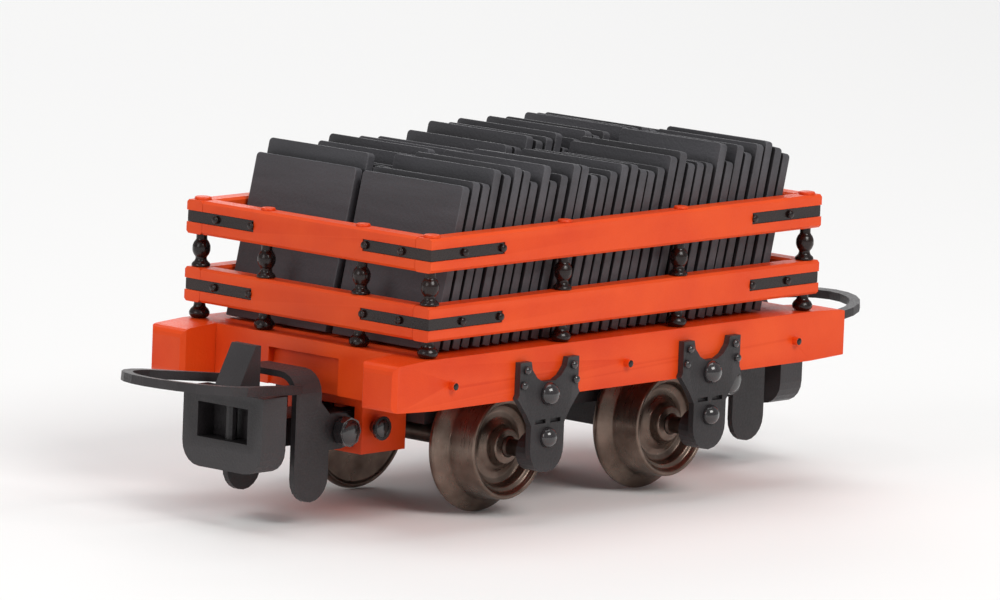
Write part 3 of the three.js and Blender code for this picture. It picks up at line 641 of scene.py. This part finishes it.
def add_strap_rivets(surface):
    """Two rivets on each arm of every corner strap."""
    for end, ex in END_SIGNS:
        for side, sy in SIDE_SIGNS:
            for storey in STOREYS:
                low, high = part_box(f"corner_strap_{end}_{side}_{storey}")
                corner_x = high.x if ex > 0 else low.x
                corner_y = high.y if sy > 0 else low.y
                corner = Vector((corner_x, corner_y, (low.z + high.z) / 2))
                tag = f"{end}_{side}_{storey}"
                arms = (("side", STRAP_RIVETS_SIDE, Vector((ex, 0, 0)), (0, sy, 0)),
                        ("end", STRAP_RIVETS_END, Vector((0, sy, 0)), (ex, 0, 0)))
                for arm, places, towards_corner, outward in arms:
                    for number, along in enumerate(places):
                        base = corner - towards_corner * along * MM
                        add_dome(f"strap_rivet_{arm}_{tag}_{number}", base, outward, STRAP_RIVET_RADIUS,
                                 STRAP_RIVET_HEIGHT, "brown_plastic", surface)


def add_guard_fixings(surface):
    """Two large bosses and four rivets on each axleguard."""
    for end in ENDS:
        for side, sy in SIDE_SIGNS:
            low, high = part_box(f"axleguard_{end}_{side}")
            middle_x = (low.x + high.x) / 2
            outermost = high.y if sy > 0 else low.y
            face = outermost - sy * GUARD_DOME_REACH * MM
            outward = (0, sy, 0)
            for label, below, radius, height in GUARD_DOMES:
                base = (middle_x, face, high.z - below * MM)
                add_dome(f"boss_{label}_{end}_{side}", base, outward, radius, height,
                         "black_plastic", surface)
            rivet_face = face + sy * GUARD_RIVET_PROUD * MM
            for number, (along, below) in enumerate(GUARD_RIVETS):
                base = (middle_x + along * MM, rivet_face, high.z - below * MM)
                add_dome(f"guard_rivet_{end}_{side}_{number}", base, outward, GUARD_RIVET_RADIUS,
                         GUARD_RIVET_HEIGHT, "black_plastic", surface)


def add_coupler_crowns(surface):
    """Glossy crowned ends of the loop pins and of the pegs on the coupler pockets."""
    for end in ENDS:
        pin_low, pin_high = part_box(f"loop_pin_{end}")
        middle = (pin_low + pin_high) / 2
        for side, sy in SIDE_SIGNS:
            pin_tip = (middle.x, pin_high.y if sy > 0 else pin_low.y, middle.z)
            add_dome(f"pin_crown_{end}_{side}", pin_tip, (0, sy, 0), PIN_CROWN_RADIUS, PIN_CROWN_HEIGHT,
                     "black_plastic", surface, f"coupler_{end}")
            peg_low, peg_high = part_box(f"pocket_peg_{end}_{side}")
            peg = (peg_low + peg_high) / 2
            peg_tip = (peg.x, peg_high.y if sy > 0 else peg_low.y, peg.z)
            add_dome(f"peg_crown_{end}_{side}", peg_tip, (0, sy, 0), PEG_CROWN_RADIUS, PEG_CROWN_HEIGHT,
                     "black_plastic", surface)


def add_bolt_tips(surface):
    """Dark ends of the bolts that stand out of the solebars."""
    for side, sy in SIDE_SIGNS:
        low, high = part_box(f"solebar_{side}")
        tip = high.y if sy > 0 else low.y
        for number, step in enumerate((-1, 0, 1)):
            base = (step * BOLT_SPACING * MM, tip, high.z - BOLT_BELOW_TOP * MM)
            add_dome(f"bolt_tip_{side}_{number}", base, (0, sy, 0), BOLT_TIP_RADIUS, BOLT_TIP_HEIGHT,
                     "brown_plastic", surface)


def add_bevel(node, width_mm, segments=2, angle=50):
    bevel = node.modifiers.new("bevel", "BEVEL")
    bevel.width = width_mm * MM
    bevel.segments = segments
    bevel.limit_method = "ANGLE"
    bevel.angle_limit = math.radians(angle)
    bevel.harden_normals = True


def dress_nodes(materials):
    """Gives every CAD node its own procedural material; each node that stays gets smooth round parts, and
    softened edges if BEVEL_WIDTHS names it.
    """
    slots = {part["node"]: part["material_slot"] for part in frame["record"]["subparts"]}
    for name, node in frame["nodes"].items():
        node.data.materials.clear()
        glossy = name.startswith(("loop_pin", "pocket_peg"))
        node.data.materials.append(materials["gloss_black" if glossy else slots[name]])
        if node.hide_render:
            continue
        smooth(node.data, 40)
        for start, width in BEVEL_WIDTHS.items():
            if name.startswith(start):
                add_bevel(node, width)


add_camera()
add_lights()
add_floor()
surfaces = make_materials()
add_stanchions(surfaces)
add_wheels(surfaces)
add_slates(surfaces)
add_strap_rivets(surfaces["brown_plastic"])
add_guard_fixings(surfaces["gloss_black"])
add_coupler_crowns(surfaces["gloss_black"])
add_bolt_tips(surfaces["brown_plastic"])
dress_nodes(surfaces)
